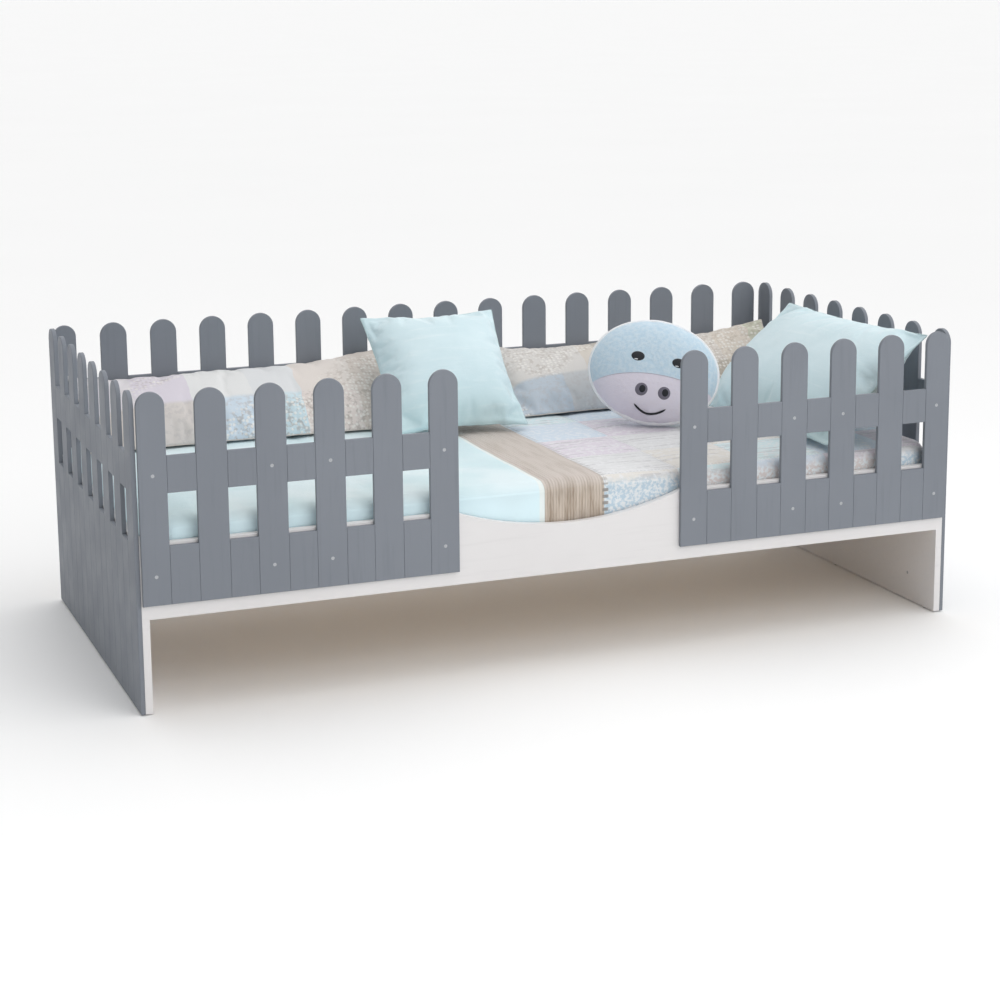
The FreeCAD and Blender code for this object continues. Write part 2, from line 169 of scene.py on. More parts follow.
class Surface:
    """A Principled material with the texture nodes it is built from.

    With plane, a placement, patterns follow the piece's own plane and not the bed's axes.
    """

    def __init__(self, name, roughness, sheen=0.0, specular=0.5, plane=None):
        self.material = bpy.data.materials.new(name)
        self.material.use_nodes = True
        self.tree = self.material.node_tree
        self.shader = self.tree.nodes["Principled BSDF"]
        self.shader.inputs["Roughness"].default_value = roughness
        self.shader.inputs["Sheen Weight"].default_value = sheen
        self.shader.inputs["Sheen Roughness"].default_value = SHEEN_ROUGHNESS
        self.shader.inputs["Specular IOR Level"].default_value = specular
        self.place = self.add("ShaderNodeTexCoord").outputs["Object"]
        if plane:
            mapping = self.add("ShaderNodeMapping")
            mapping.vector_type = "TEXTURE"
            mapping.inputs["Location"].default_value = plane.to_translation()
            mapping.inputs["Rotation"].default_value = plane.to_euler()
            self.link(self.place, mapping.inputs["Vector"])
            self.place = mapping.outputs[0]
        split = self.add("ShaderNodeSeparateXYZ")
        self.link(self.place, split.inputs[0])
        self.x, self.y, self.z = split.outputs

    def add(self, kind):
        return self.tree.nodes.new(kind)

    def link(self, source, target):
        self.tree.links.new(source, target)

    def feed(self, value, target):
        if isinstance(value, bpy.types.NodeSocket):
            self.link(value, target)
        else:
            target.default_value = value

    def stretched(self, scale):
        mapping = self.add("ShaderNodeMapping")
        mapping.inputs["Scale"].default_value = scale
        self.link(self.place, mapping.inputs["Vector"])
        return mapping.outputs[0]

    def noise(self, scale, detail=3.0, stretch=None, roughness=0.5):
        node = self.add("ShaderNodeTexNoise")
        node.inputs["Scale"].default_value = scale
        node.inputs["Detail"].default_value = detail
        node.inputs["Roughness"].default_value = roughness
        self.link(self.stretched(stretch) if stretch else self.place, node.inputs["Vector"])
        return node.outputs["Fac"]

    def wave(self, direction, pitch, distortion=0.0):
        """Bands across X, Y or Z, pitch metres apart."""
        node = self.add("ShaderNodeTexWave")
        node.bands_direction = direction
        node.inputs["Scale"].default_value = 2 * math.pi / (BANDS_PER_TURN * pitch)
        node.inputs["Distortion"].default_value = distortion
        self.link(self.place, node.inputs["Vector"])
        return node.outputs["Fac"]

    def calc(self, operation, a, b=0.0, c=0.0):
        node = self.add("ShaderNodeMath")
        node.operation = operation
        for value, target in zip((a, b, c), node.inputs):
            self.feed(value, target)
        return node.outputs[0]

    def span(self, value, low, high, to_low=0.0, to_high=1.0):
        """Value mapped smoothly from low..high to to_low..to_high."""
        node = self.add("ShaderNodeMapRange")
        node.interpolation_type = "SMOOTHSTEP"
        self.feed(value, node.inputs["Value"])
        node.inputs["From Min"].default_value = low
        node.inputs["From Max"].default_value = high
        node.inputs["To Min"].default_value = to_low
        node.inputs["To Max"].default_value = to_high
        return node.outputs[0]

    def band(self, value, low, high, soft=0.001):
        """1 between low and high, 0 outside."""
        rise = self.span(value, low - soft, low + soft)
        fall = self.span(value, high - soft, high + soft)
        return self.calc("SUBTRACT", rise, fall)

    def mix(self, share, a, b):
        """Colour a with share of colour b over it."""
        node = self.add("ShaderNodeMix")
        node.data_type = "RGBA"
        self.feed(share, node.inputs["Factor"])
        self.feed(a, node.inputs["A"])
        self.feed(b, node.inputs["B"])
        return node.outputs["Result"]

    def steps(self, value, stops):
        """Colour of the last of the (place, colour) stops that value has passed."""
        node = self.add("ShaderNodeValToRGB")
        node.color_ramp.interpolation = "CONSTANT"
        while len(node.color_ramp.elements) < len(stops):
            node.color_ramp.elements.new(0.5)
        for element, (at, colour) in zip(node.color_ramp.elements, stops):
            element.position = at
            element.color = colour
        self.link(value, node.inputs[0])
        return node.outputs[0]

    def weave(self, pitch):
        """Height of a plain weave whose threads run along X and Y."""
        return self.calc("MULTIPLY", self.wave("X", pitch), self.wave("Y", pitch))

    def finish(self, colour, height, depth, roughness=None):
        """Sets colour, bump (height over depth metres) and roughness; returns the material."""
        self.link(colour, self.shader.inputs["Base Color"])
        if roughness is not None:
            self.link(roughness, self.shader.inputs["Roughness"])
        bump = self.add("ShaderNodeBump")
        bump.inputs["Strength"].default_value = BUMP_STRENGTH
        bump.inputs["Distance"].default_value = depth
        self.link(height, bump.inputs["Height"])
        self.link(bump.outputs[0], self.shader.inputs["Normal"])
        return self.material


# ---------------------------------------------------------------- hard materials
def painted(name, colour, dark, light, grain):
    """Sprayed paint over board: faint grain, slow shade changes and an uneven sheen."""
    s = Surface(name, roughness=0.5, specular=0.2)
    fibres = s.noise(90, 4, grain, 0.6)
    clouds = s.noise(3.5, 3)
    peel = s.noise(650, 2)
    tint = s.mix(s.span(clouds, 0.3, 0.7), dark, light)
    tint = s.mix(0.8, tint, colour)
    tint = s.mix(s.span(fibres, 0.52, 0.75, 0.0, 0.35), tint, dark)
    height = s.calc("MULTIPLY_ADD", fibres, 0.6, s.calc("MULTIPLY", peel, 0.25))
    rough = s.span(s.noise(14, 3), 0.25, 0.75, 0.45, 0.62)
    return s.finish(tint, height, 0.25 * MM, rough)


def timber(name, pale, dark, stretch):
    """Planed softwood with long growth rings, fibres and a few knots."""
    s = Surface(name, roughness=0.6)
    rings = s.noise(14, 2.5, stretch, 0.55)
    fibres = s.noise(160, 3, stretch, 0.7)
    bands = s.calc("SINE", s.calc("MULTIPLY", rings, 60.0))
    tint = s.mix(s.span(bands, -0.6, 1.0), pale, dark)
    tint = s.mix(s.span(fibres, 0.45, 0.8, 0.0, 0.5), tint, dark)
    knots = s.noise(5.5, 1.0)
    tint = s.mix(s.span(knots, 0.70, 0.78, 0.0, 0.75), tint, srgb(120, 78, 44))
    height = s.calc("MULTIPLY_ADD", bands, 0.3, fibres)
    return s.finish(tint, height, 0.3 * MM, s.span(fibres, 0.3, 0.8, 0.5, 0.75))


def screw_metal():
    s = Surface("screw_metal", roughness=0.4)
    s.shader.inputs["Metallic"].default_value = 0.25
    grain = s.noise(900, 2)
    tint = s.mix(grain, srgb(170, 172, 176), srgb(198, 200, 204))
    return s.finish(tint, grain, 0.05 * MM, s.span(grain, 0.3, 0.7, 0.32, 0.5))


def glide_plastic():
    s = Surface("glide_plastic", roughness=0.5)
    grain = s.noise(700, 2)
    tint = s.mix(s.noise(60), srgb(150, 150, 148), srgb(176, 176, 174))
    return s.finish(tint, grain, 0.1 * MM, s.span(grain, 0.3, 0.7, 0.42, 0.6))


def webbing():
    s = Surface("webbing", roughness=0.85, sheen=0.2)
    threads = s.weave(1.6 * MM)
    tint = s.mix(threads, srgb(196, 196, 190), srgb(232, 232, 226))
    return s.finish(tint, threads, 0.4 * MM, s.span(threads, 0.0, 1.0, 0.8, 0.95))


# stretches that draw the grain out along one axis
UP_GRAIN = (1, 1, 0.06)
LONG_GRAIN = (0.06, 1, 1)
SLAT_GRAIN = (1, 0.04, 1)
STRIP_GRAIN = (0.04, 1, 1)
DOWEL_GRAIN = (0.1, 1, 1)

STRIP = timber("strip_pine", srgb(224, 196, 152), srgb(194, 154, 104), STRIP_GRAIN)
slot_materials = {
    "grey_paint": painted(
        "grey_paint", srgb(130, 135, 143), srgb(118, 123, 131), srgb(140, 145, 153), UP_GRAIN),
    "white_paint": painted(
        "white_paint", srgb(229, 227, 227), srgb(220, 218, 218), srgb(235, 234, 234), LONG_GRAIN),
    "bare_pine": timber("slat_pine", srgb(222, 192, 148), srgb(190, 150, 100), SLAT_GRAIN),
    "beech_dowel": timber("beech", srgb(206, 164, 120), srgb(176, 132, 90), DOWEL_GRAIN),
    "slat_tape": webbing(),
    "screw_steel": screw_metal(),
    "glide_plastic": glide_plastic(),
}
for row in frame["record"]["subparts"]:
    node = frame["nodes"][row["node"]]
    material = slot_materials.get(row["material_slot"])
    if row["node"].endswith(("_ledge", "_batten")):
        material = STRIP
    if material:
        for slot in node.material_slots:
            slot.material = material


# ---------------------------------------------------------------- where the leaning pieces stand
def middle_of(node):
    low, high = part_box(node)
    return (low + high) / 2


def length_of(node):
    low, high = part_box(node)
    return high.x - low.x


def stand(centre, lean, turn=0.0, roll=0.0):
    """Rolls a flat-lying piece in its plane, leans it up about X, turns it in plan and moves it.

    Angles are in degrees.
    """
    rolled = Matrix.Rotation(math.radians(roll), 4, "Z")
    leaned = Matrix.Rotation(math.radians(lean), 4, "X")
    turned = Matrix.Rotation(math.radians(turn), 4, "Z")
    return Matrix.Translation(centre) @ turned @ leaned @ rolled


BACK_PILLOW_LEAN = 27
BACK_PILLOW_OUT = 0.129
BACK_PILLOW_UP = 0.066


def pillow_place(node):
    """Back pillow slumped between the quilt and the back fence."""
    low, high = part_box(node)
    middle = Vector(((low.x + high.x) / 2, high.y - BACK_PILLOW_OUT, low.z + BACK_PILLOW_UP))
    return stand(middle, BACK_PILLOW_LEAN)


PLACES = {
    "square_cushion": stand(middle_of("square_cushion"), 46),
    "end_pillow": stand(middle_of("end_pillow"), 41, turn=-86),
    "round_plush": stand(middle_of("round_plush"), 69, turn=-22, roll=-11),
    "back_pillow_left": pillow_place("back_pillow_left"),
    "back_pillow_right": pillow_place("back_pillow_right"),
}


# ---------------------------------------------------------------- fabric materials
AQUA = srgb(229, 244, 248)
AQUA_DEEP = srgb(212, 235, 240)
# lit copy of the aqua for the quilt's hanging side, brighter and bluer: painted light
AQUA_SIDE_PAINTED_LIGHT = srgb(222, 246, 253)
BEIGE = srgb(208, 197, 189)
TAUPE = srgb(178, 164, 152)
# darker copies of the band's beige and of its streaks for the quilt's hanging side: painted shade
BEIGE_SIDE_PAINTED_SHADE = srgb(198, 184, 170)
SIDE_STREAK_PAINTED_SHADE = srgb(156, 138, 120)

# the quilt: aqua up to BAND_LEFT, a ribbed band up to BAND_RIGHT, patches beyond it
BAND_LEFT = -0.055
BAND_RIGHT = 0.090
PATCH_LENGTH = 0.190
PATCH_DEPTH = 0.190
PATCH_START_Y = -0.620
# heights between which the top's colours give way to the hanging side's: its own patches, with
# painted light on the aqua and painted shade on the band
DRAPE_TOP = 0.412
DRAPE_FULL = 0.385

# colours of the quilt's patches in the order they follow each other from patch to patch
PATCH_COLOURS = [
    srgb(228, 228, 229), srgb(214, 226, 238), srgb(232, 228, 222), srgb(226, 218, 228),
    srgb(216, 234, 238)]


def knit_dots(s, pitch):
    """Raised stitches in slightly uneven rows."""
    node = s.add("ShaderNodeTexVoronoi")
    node.inputs["Scale"].default_value = 1 / pitch
    node.inputs["Randomness"].default_value = 0.5
    s.link(s.place, node.inputs["Vector"])
    return s.span(node.outputs["Distance"], 0.22, 0.5, 1.0, 0.0)


def melange(s, tint, dark, share):
    """Blotches of a darker yarn over tint."""
    blotches = s.span(s.noise(75, 3, None, 0.65), 0.48, 0.62)
    return s.mix(s.calc("MULTIPLY", blotches, share), tint, dark)


def patch_tint(s, across, along):
    """Colour of the patch that (across, along) is in, and the colour's place in the row, 0 to 1."""
    column = s.calc("FLOOR", across)
    row = s.calc("FLOOR", along)
    order = s.calc("MULTIPLY_ADD", column, 2.0, s.calc("MULTIPLY", row, 3.0))
    count = len(PATCH_COLOURS)
    turn = s.calc("FRACT", s.calc("DIVIDE", s.calc("ADD", order, 2.5), float(count)))
    return s.steps(turn, [(k / count, colour) for k, colour in enumerate(PATCH_COLOURS)]), turn


def quilt_fabric():
    s = Surface("quilt_cotton", roughness=0.8, sheen=0.2)
    threads = s.weave(1.4 * MM)
    clouds = s.noise(5, 3)
    drape = s.span(s.z, DRAPE_FULL, DRAPE_TOP, 1.0, 0.0)
    aqua = s.mix(s.span(clouds, 0.3, 0.7), AQUA, AQUA_DEEP)
    # painted light: the hanging side takes a brighter, bluer copy of the aqua
    aqua = s.mix(s.calc("MULTIPLY", drape, 0.8), aqua, AQUA_SIDE_PAINTED_LIGHT)
    ribs = s.wave("X", 7 * MM, 1.5)
    streaks = s.span(s.noise(60, 3, (1, 0.12, 0.12), 0.6), 0.42, 0.68)
    top_beige = s.mix(s.calc("MULTIPLY", streaks, 0.5), BEIGE, TAUPE)
    # painted shade: on the hanging side the band's streaks are kept but drawn heavier and darker
    side_beige_painted_shade = s.mix(s.calc("MULTIPLY", streaks, 0.9), BEIGE_SIDE_PAINTED_SHADE, SIDE_STREAK_PAINTED_SHADE)
    beige = s.mix(drape, top_beige, side_beige_painted_shade)
    beige = s.mix(s.span(ribs, 0.55, 0.95, 0.0, 0.2), beige, srgb(222, 213, 204))
    across = s.calc("DIVIDE", s.calc("SUBTRACT", s.x, BAND_RIGHT), PATCH_LENGTH)
    along = s.calc("DIVIDE", s.calc("SUBTRACT", s.y, PATCH_START_Y), PATCH_DEPTH)
    plain, turn = patch_tint(s, across, along)
    lines = s.span(s.noise(90, 2, (0.09, 1, 1), 0.55), 0.52, 0.64)
    lined = s.mix(s.calc("MULTIPLY", lines, 0.55), plain, srgb(186, 184, 188))
    lined = melange(s, lined, srgb(240, 240, 242), 0.6)
    patches = s.mix(s.span(turn, 0.19, 0.21), lined, melange(s, plain, srgb(242, 243, 246), 0.5))
    patches = s.mix(s.span(turn, 0.39, 0.41), patches, lined)
    warm = s.band(s.x, 0.31, 0.86, 0.004)
    flecks = s.span(s.noise(120, 3, None, 0.6), 0.42, 0.6)
    front = s.mix(warm, srgb(188, 208, 222), srgb(214, 206, 204))
    front = s.mix(flecks, front, srgb(228, 233, 236))
    patches = s.mix(drape, patches, front)
    edge_across = s.calc("MULTIPLY", s.calc("PINGPONG", across, 0.5), PATCH_LENGTH)
    edge_along = s.calc("MULTIPLY", s.calc("PINGPONG", along, 0.5), PATCH_DEPTH)
    near_seam = s.calc("MINIMUM", edge_across, edge_along)
    broken = s.span(s.calc("MULTIPLY", s.wave("X", 9 * MM), s.wave("Y", 9 * MM)), 0.2, 0.35)
    stitch = s.calc("MULTIPLY", s.band(near_seam, 0.003, 0.005, 0.0006), broken)
    patches = s.mix(s.calc("MULTIPLY", stitch, 0.4), patches, srgb(160, 160, 168))
    tint = s.mix(s.span(s.x, BAND_RIGHT - 0.001, BAND_RIGHT + 0.001), beige, patches)
    tint = s.mix(s.span(s.x, BAND_LEFT - 0.001, BAND_LEFT + 0.001), aqua, tint)
    edge = s.band(s.x, BAND_LEFT - 0.012, BAND_LEFT, 0.002)
    tint = s.mix(s.calc("MULTIPLY", edge, 0.7), tint, srgb(240, 243, 238))
    seam = s.band(s.x, BAND_RIGHT - 0.004, BAND_RIGHT + 0.010, 0.002)
    along_seam = s.calc("MULTIPLY_ADD", drape, s.wave("Z", 15 * MM),
                        s.calc("MULTIPLY", s.calc("SUBTRACT", 1.0, drape), s.wave("Y", 15 * MM)))
    dots = s.calc("MULTIPLY", seam, s.span(along_seam, 0.35, 0.65))
    dots = s.calc("MULTIPLY", dots, s.span(drape, 0.0, 1.0, 0.3, 0.85))
    tint = s.mix(dots, tint, srgb(138, 132, 126))
    tint = s.mix(s.calc("MULTIPLY", threads, 0.10), tint, srgb(160, 168, 178))
    on_band = s.band(s.x, BAND_LEFT, BAND_RIGHT)
    rib_height = s.calc("MULTIPLY", on_band, s.calc("MULTIPLY", ribs, 2.0))
    height = s.calc("ADD", s.calc("MULTIPLY_ADD", threads, 0.6, rib_height),
                    s.calc("MULTIPLY", s.noise(40, 3), 1.6))
    return s.finish(tint, height, 0.7 * MM, s.span(clouds, 0.3, 0.7, 0.72, 0.9))


def pillow_fabric(name, node, upper_stops, lower_stops, knit_share):
    """Patched cotton; the stops colour its upper and lower patches from its left end, 0, to 1."""
    s = Surface(name, roughness=0.85, sheen=0.2, plane=PLACES[node])
    low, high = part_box(node)
    half = (high.x - low.x) / 2
    threads = s.weave(1.5 * MM)
    wobble = s.calc("MULTIPLY_ADD", s.noise(14, 2), 0.03, s.x)
    share = s.calc("DIVIDE", s.calc("ADD", wobble, half - 0.015), 2 * half)
    lower = melange(s, s.steps(share, lower_stops), srgb(186, 182, 182), 0.35)
    tint = s.mix(s.span(s.y, -0.040, -0.024), lower, s.steps(share, upper_stops))
    knitted = s.span(s.noise(4.5, 1), 0.52 - knit_share, 0.60 - knit_share)
    dots = s.calc("MULTIPLY", knit_dots(s, 11 * MM), knitted)
    flecked = melange(s, tint, srgb(150, 132, 116), 0.9)
    tint = s.mix(s.calc("MULTIPLY", knitted, 0.35), tint, flecked)
    tint = s.mix(s.calc("MULTIPLY", dots, 0.7), tint, srgb(243, 240, 235))
    tint = s.mix(s.calc("MULTIPLY", threads, 0.12), tint, srgb(160, 156, 160))
    height = s.calc("ADD", s.calc("MULTIPLY_ADD", threads, 0.6, s.calc("MULTIPLY", dots, 1.2)),
                    s.calc("MULTIPLY", s.noise(45, 3), 1.2))
    return s.finish(tint, height, 0.7 * MM, s.span(knitted, 0.0, 1.0, 0.78, 0.92))


def satin_fabric(name, node):
    s = Surface(name, roughness=0.42, sheen=0.3, plane=PLACES[node])
    slubs = s.noise(70, 3, (0.10, 1, 1), 0.6)
    clouds = s.noise(4, 3)
    threads = s.weave(0.9 * MM)
    tint = s.mix(s.span(clouds, 0.3, 0.7), srgb(215, 236, 242), srgb(203, 228, 235))
    tint = s.mix(s.span(slubs, 0.5, 0.8, 0.0, 0.45), tint, srgb(230, 244, 248))
    # painted shade: darker and greener towards the cushion's lower edge
    tint = s.mix(s.span(s.y, -0.18, -0.04, 0.3, 0.0), tint, srgb(190, 220, 220))
    height = s.calc("ADD", s.calc("MULTIPLY_ADD", threads, 0.4, slubs),
                    s.calc("MULTIPLY", s.noise(26, 4), 3.0))
    return s.finish(tint, height, 0.6 * MM, s.span(slubs, 0.3, 0.7, 0.36, 0.52))


def ticking_fabric():
    s = Surface("mattress_ticking", roughness=0.85, sheen=0.15)
    threads = s.weave(1.2 * MM)
    squares = [s.span(s.wave(way, 60 * MM), 0.0, 0.12) for way in "XY"]
    quilted = s.calc("MULTIPLY", *squares)
    tint = s.mix(s.noise(8), srgb(236, 235, 230), srgb(226, 225, 221))
    tint = s.mix(s.calc("MULTIPLY", threads, 0.2), tint, srgb(190, 192, 196))
    height = s.calc("MULTIPLY_ADD", threads, 0.1, quilted)
    return s.finish(tint, height, 2.0 * MM, s.span(threads, 0.0, 1.0, 0.8, 0.95))


# the muzzle is an oval in the plush's own plane
MUZZLE_X = 0.020
MUZZLE_Y = -0.101
MUZZLE_HALF_WIDTH = 0.200
MUZZLE_HALF_HEIGHT = 0.085


def fleece(name, colour, muzzle_colour=None):
    """Short-pile fleece; muzzle_colour fills the muzzle on the front."""
    s = Surface(name, roughness=0.95, sheen=0.4, specular=0.2, plane=PLACES["round_plush"])
    pile = s.noise(520, 3, None, 0.7)
    tufts = s.noise(110, 3)
    tint = s.mix(s.span(tufts, 0.35, 0.65, 0.0, 0.35), colour, srgb(226, 234, 240))
    if muzzle_colour:
        tufted = s.span(tufts, 0.35, 0.65, 0.0, 0.35)
        wide = s.calc("DIVIDE", s.calc("SUBTRACT", s.x, MUZZLE_X), MUZZLE_HALF_WIDTH)
        tall = s.calc("DIVIDE", s.calc("SUBTRACT", s.y, MUZZLE_Y), MUZZLE_HALF_HEIGHT)
        apart = s.calc("ADD", s.calc("MULTIPLY", wide, wide), s.calc("MULTIPLY", tall, tall))
        muzzle = s.mix(tufted, muzzle_colour, srgb(226, 220, 230))
        front = s.span(s.z, -0.002, 0.0)
        tint = s.mix(s.calc("MULTIPLY", s.span(apart, 0.96, 1.04, 1.0, 0.0), front), tint, muzzle)
    height = s.calc("MULTIPLY_ADD", tufts, 1.5, pile)
    return s.finish(tint, height, 1.2 * MM, s.span(pile, 0.3, 0.7, 0.85, 1.0))


def thread(name, dark, light, pitch, sheen=0.2):
    """Embroidery or sewing thread: fine parallel stitches."""
    s = Surface(name, roughness=0.55, sheen=sheen)
    stitches = s.wave("X", pitch, 1.0)
    tint = s.mix(stitches, dark, light)
    return s.finish(tint, stitches, 0.3 * MM, s.span(stitches, 0.0, 1.0, 0.45, 0.65))


QUILT = quilt_fabric()
PILLOW_LEFT = pillow_fabric(
    "pillow_patches_left", "back_pillow_left",
    [(0.0, srgb(226, 222, 226)), (0.17, srgb(222, 216, 226)), (0.33, srgb(230, 231, 231)),
     (0.51, srgb(224, 226, 228)), (0.66, srgb(228, 220, 214)), (0.83, srgb(222, 212, 204))],
    [(0.0, srgb(214, 206, 198)), (0.17, srgb(214, 208, 204)), (0.33, srgb(208, 222, 234)),
     (0.51, srgb(206, 225, 233)), (0.66, srgb(226, 216, 211)), (0.83, srgb(216, 206, 198))], 0.02)
PILLOW_RIGHT = pillow_fabric(
    "pillow_patches_right", "back_pillow_right",
    [(0.0, srgb(220, 216, 212)), (0.30, srgb(216, 208, 198)), (0.55, srgb(220, 212, 204)),
     (0.80, srgb(222, 212, 200)), (0.92, srgb(208, 208, 190))],
    [(0.0, srgb(192, 202, 212)), (0.20, srgb(198, 200, 202)), (0.34, srgb(188, 178, 166)),
     (0.62, srgb(196, 186, 172))], 0.12)
SATIN = satin_fabric("aqua_satin_square", "square_cushion")
SATIN_LONG = satin_fabric("aqua_satin_long", "end_pillow")
TICKING = ticking_fabric()
PLUSH = fleece("plush_fleece", srgb(190, 214, 230), srgb(225, 221, 234))
RIM = fleece("plush_rim_fleece", srgb(246, 247, 250))
BLACK_THREAD = thread("black_thread", srgb(8, 10, 16), srgb(30, 34, 44), 1.2 * MM, sheen=0.0)
GREY_FELT = thread("grey_felt", srgb(92, 90, 104), srgb(124, 120, 134), 1.6 * MM, sheen=0.1)
LILAC_THREAD = thread("lilac_thread", srgb(168, 164, 180), srgb(186, 182, 196), 1.6 * MM)
WHITE_THREAD = thread("white_thread", srgb(208, 212, 216), srgb(240, 242, 244), 1.5 * MM)
AQUA_THREAD = thread("aqua_thread", srgb(168, 196, 200), srgb(204, 224, 228), 1.5 * MM)
SAND_THREAD = thread("sand_thread", srgb(180, 172, 165), srgb(220, 214, 208), 1.5 * MM)


# ---------------------------------------------------------------- mattress and quilt
CORNER_RADIUS = 38 * MM


def cornered(x, y, half_x, half_y, radius):
    """A point of a rectangle moved into the rounded one, and its outward direction at the rim."""
    u = (abs(x) - (half_x - radius)) / radius
    v = (abs(y) - (half_y - radius)) / radius
    sx = math.copysign(1, x)
    sy = math.copysign(1, y)
    if u > 0 and v > 0:
        mapped_u = u * math.sqrt(1 - v * v / 2)
        mapped_v = v * math.sqrt(1 - u * u / 2)
        x = sx * (half_x - radius + radius * mapped_u)
        y = sy * (half_y - radius + radius * mapped_v)
        out = Vector((sx * mapped_u, sy * mapped_v, 0)).normalized()
    elif u > v:
        out = Vector((sx, 0, 0))
    else:
        out = Vector((0, sy, 0))
    return x, y, out


def block_mesh(half_x, half_y, radius, top, rings, cell, base=None):
    """Top grid of a rounded rectangle with rings going outward and down from its rim.

    rings are (outward, down) pairs. With base, a height, the last ring is closed by a second grid.
    Returns the vertices, the faces and the last ring's vertex numbers.
    """
    nx = round(2 * half_x / cell)
    ny = round(2 * half_y / cell)
    verts, index, rim_out = [], {}, {}
    for i in range(nx + 1):
        for j in range(ny + 1):
            flat_x = half_x * (2 * i / nx - 1)
            flat_y = half_y * (2 * j / ny - 1)
            x, y, out = cornered(flat_x, flat_y, half_x, half_y, radius)
            index[i, j] = len(verts)
            rim_out[i, j] = out
            verts.append(Vector((x, y, top)))
    faces = [(index[i, j], index[i + 1, j], index[i + 1, j + 1], index[i, j + 1])
             for i in range(nx) for j in range(ny)]
    loop = [(i, 0) for i in range(nx)] + [(nx, j) for j in range(ny)]
    loop += [(i, ny) for i in range(nx, 0, -1)] + [(0, j) for j in range(ny, 0, -1)]
    before = [index[key] for key in loop]
    for outward, down in rings:
        now = []
        for key in loop:
            rim = verts[index[key]]
            now.append(len(verts))
            verts.append(rim + rim_out[key] * outward - Vector((0, 0, down)))
        for k in range(len(loop)):
            after = (k + 1) % len(loop)
            faces.append((before[k], now[k], now[after], before[after]))
        before = now
    if base is not None:
        under = {key: place for key, place in zip(loop, before)}
        for key, place in index.items():
            if key not in under:
                under[key] = len(verts)
                verts.append(Vector((verts[place].x, verts[place].y, base)))
        faces += [(under[i, j], under[i, j + 1], under[i + 1, j + 1], under[i + 1, j])
                  for i in range(nx) for j in range(ny)]
    return verts, faces, before


def quarter_turn(radius, steps):
    """(outward, down) pairs of a rounded edge."""
    turns = [math.pi / 2 * k / steps for k in range(1, steps + 1)]
    return [(radius * math.sin(t), radius * (1 - math.cos(t))) for t in turns]


MATTRESS_EDGE = 22 * MM
MATTRESS_SLIM = 3 * MM
MATTRESS_CELL = 22 * MM
TUFT_PITCH = 0.12
TUFT_DEPTH = 0.8 * MM
PIPING_FROM_FACE = 9 * MM
PIPING_OUT = 15.5 * MM
PIPING_RADIUS = 3.0 * MM


def mattress():
    low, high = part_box("mattress_cover")
    edge = MATTRESS_EDGE
    half_x = high.x - edge - MATTRESS_SLIM
    half_y = high.y - edge - MATTRESS_SLIM
    height = high.z - low.z
    side = [(edge, edge + (height - 2 * edge) * k / 6) for k in range(1, 7)]
    turns = [math.pi / 2 * k / 5 for k in range(1, 6)]
    under = [(edge * math.cos(t), height - edge + edge * math.sin(t)) for t in turns]
    rings = quarter_turn(edge, 5) + side + under
    verts, faces, _ = block_mesh(
        half_x, half_y, CORNER_RADIUS, high.z, rings, MATTRESS_CELL, base=low.z)
    for v in verts:
        if v.z > high.z - 1e-6 or v.z < low.z + 1e-6:
            inward = -1 if v.z > (low.z + high.z) / 2 else 1
            tuft = math.cos(math.pi * v.x / TUFT_PITCH) * math.cos(math.pi * v.y / TUFT_PITCH)
            v.z += inward * (TUFT_DEPTH + TUFT_DEPTH * tuft)
    piece = new_piece("mattress_ticking", verts, faces, TICKING)
    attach(piece, "mattress")
    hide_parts("mattress_core", "mattress_cover")
    for name, z in (("mattress_piping_top", high.z - PIPING_FROM_FACE),
                    ("mattress_piping_base", low.z + PIPING_FROM_FACE)):
        outline, _, last = block_mesh(
            half_x, half_y, CORNER_RADIUS, z, [(PIPING_OUT, 0.0)], MATTRESS_CELL)
        cord = tube(name, [outline[k] for k in last], PIPING_RADIUS, WHITE_THREAD)
        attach(cord, "mattress")


def line_distance(value, start, pitch):
    """How far value is from the nearest of the lines pitch apart, one of them at start."""
    share = (value - start) / pitch % 1
    return min(share, 1 - share) * pitch


def seam_distance(x, y):
    """How far a point of the quilt's top is from its nearest sewn line."""
    near = min(abs(x - BAND_LEFT), abs(x - BAND_RIGHT))
    if x > BAND_RIGHT:
        near = min(near, line_distance(x, BAND_RIGHT, PATCH_LENGTH),
                   line_distance(y, PATCH_START_Y, PATCH_DEPTH))
    elif x < BAND_LEFT:
        near = min(near, line_distance(x, BAND_LEFT, 2 * PATCH_LENGTH),
                   line_distance(y, PATCH_START_Y, 2 * PATCH_DEPTH))
    return near


QUILT_EDGE = 28 * MM
QUILT_THICKNESS = 5 * MM
QUILT_CELL = 11 * MM
HEM_RADIUS = 1.8 * MM
PUFF_RISE = 4.5 * MM
PUFF_REACH = 14 * MM
SETTLE = 6.5 * MM
PROUD = 1.0 * MM
FOLD_DEPTH = 2.2 * MM


